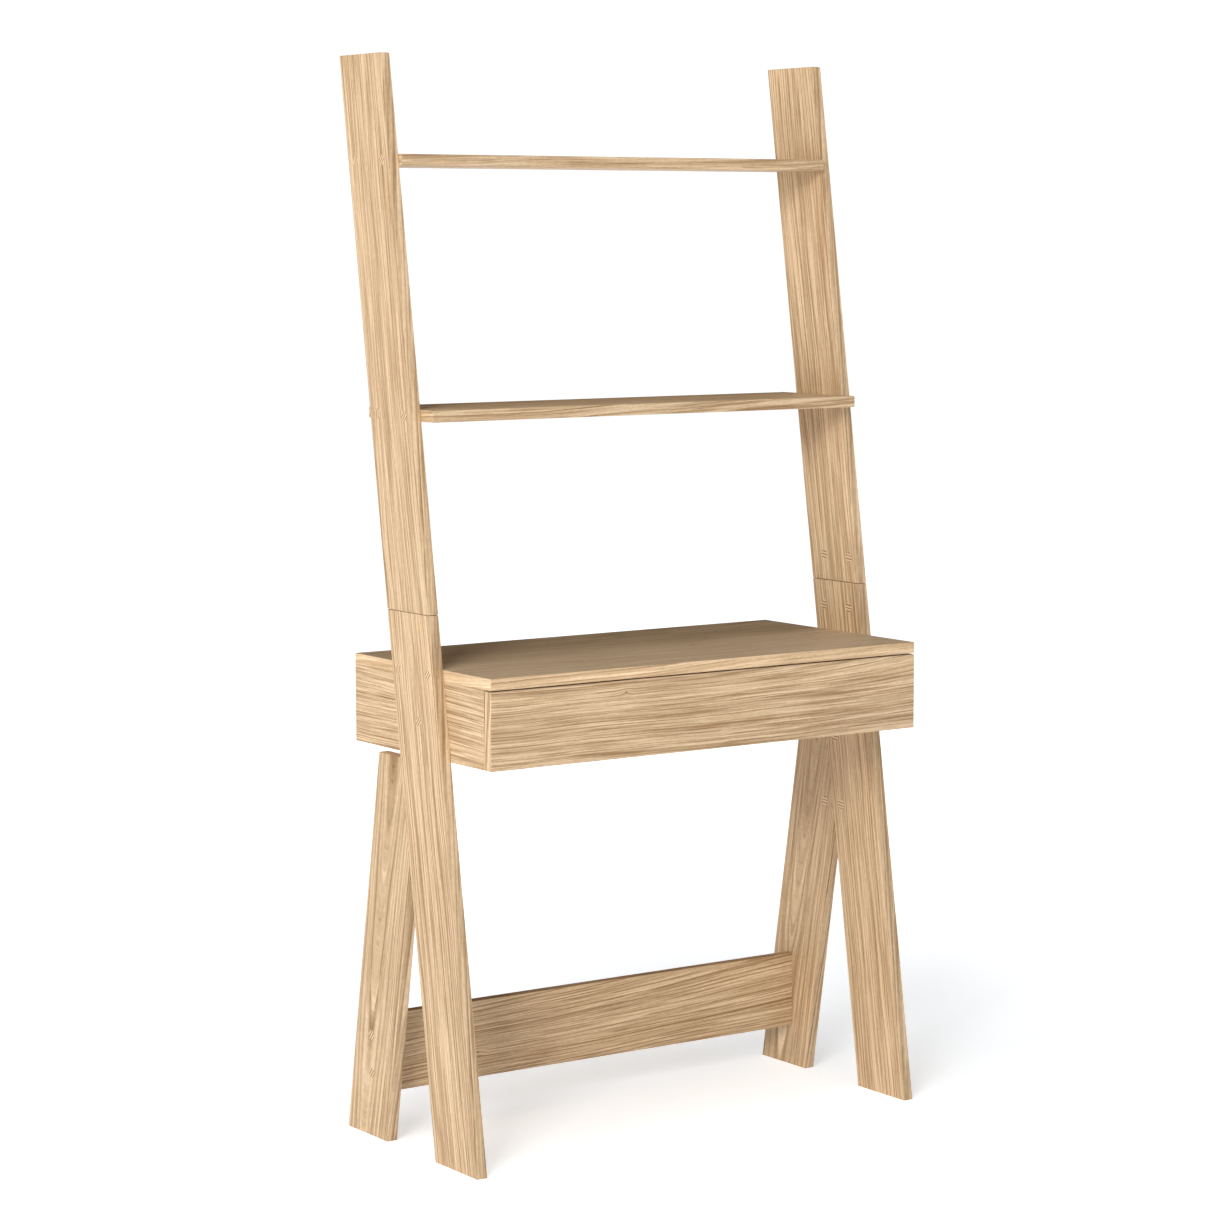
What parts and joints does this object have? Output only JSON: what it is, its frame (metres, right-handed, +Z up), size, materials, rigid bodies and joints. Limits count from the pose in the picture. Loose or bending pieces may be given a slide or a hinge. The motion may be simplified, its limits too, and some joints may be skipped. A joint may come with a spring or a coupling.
{
  "type": "ladder desk with drawer",
  "caption": "Freestanding ladder desk in pale oak boards: raking side frames hold open shelves, a stretcher and a desk box with a full-width drawer.",
  "frame": {"origin": "on the floor, at the centre of the bounding box's footprint", "axes": "+X towards the right-hand side frame seen from the front, +Y towards the wall (the drawer opens towards -Y), +Z up"},
  "size_m": [0.85, 0.4068, 1.7],
  "materials": {
    "oak_board": "matte oak-grain laminate",
    "drawer_board": "matte oak-grain foil",
    "hardboard": "matte oak-print foil on hardboard",
    "oak_cap": "matte oak-grain foil",
    "beech_dowel": "fluted bare beech",
    "zinc_casting": "tumbled zinc casting",
    "plated_fastener": "bright zinc plate",
    "runner_steel": "zinc-plated rolled steel",
    "bearing_steel": "polished hardened steel"
  },
  "bodies": {
    "frame": {"left_upper_stile": "oak_board", "left_lower_stile": "oak_board", "left_rear_leg": "oak_board", "right_upper_stile": "oak_board", "right_lower_stile": "oak_board", "right_rear_leg": "oak_board", "top_shelf": "oak_board", "middle_shelf": "oak_board", "stretcher": "oak_board", "desk_top": "oak_board", "desk_left_side": "oak_board", "desk_right_side": "oak_board", "desk_back": "oak_board", "cam_locks": "zinc_casting", "double_cam_bolts": "plated_fastener", "cam_bolts": "plated_fastener", "dowels": "beech_dowel", "connector_screws": "plated_fastener", "box_screws": "plated_fastener", "screw_caps": "oak_cap", "cam_caps": "oak_cap", "left_outer_rail": "runner_steel", "right_outer_rail": "runner_steel", "fixed_rail_screws": "plated_fastener"},
    "drawer": {"drawer_front": "oak_board", "drawer_left_side": "drawer_board", "drawer_right_side": "drawer_board", "drawer_back": "drawer_board", "drawer_bottom": "hardboard", "drawer_cam_locks": "zinc_casting", "drawer_cam_bolts": "plated_fastener", "drawer_dowels": "beech_dowel", "drawer_back_screws": "plated_fastener", "drawer_bottom_screws": "plated_fastener", "left_inner_rail": "runner_steel", "right_inner_rail": "runner_steel", "moving_rail_screws": "plated_fastener"},
    "left_cage": {"left_ball_cage": "runner_steel", "left_bearing_balls": "bearing_steel"},
    "right_cage": {"right_ball_cage": "runner_steel", "right_bearing_balls": "bearing_steel"}
  },
  "joints": [
    {"name": "drawer_slide", "type": "slide", "parent": "frame", "child": "drawer", "axis": [0, -1, 0], "range_m": [0, 0.25]},
    {"name": "left_cage_slide", "type": "slide", "parent": "frame", "child": "left_cage", "axis": [0, -1, 0], "range_m": [0, 0.125]},
    {"name": "right_cage_slide", "type": "slide", "parent": "frame", "child": "right_cage", "axis": [0, -1, 0], "range_m": [0, 0.125]}
  ],
  "couplings": [
    {"joint": "left_cage_slide", "follows": "drawer_slide", "ratio": 0.5},
    {"joint": "right_cage_slide", "follows": "drawer_slide", "ratio": 0.5}
  ]
}
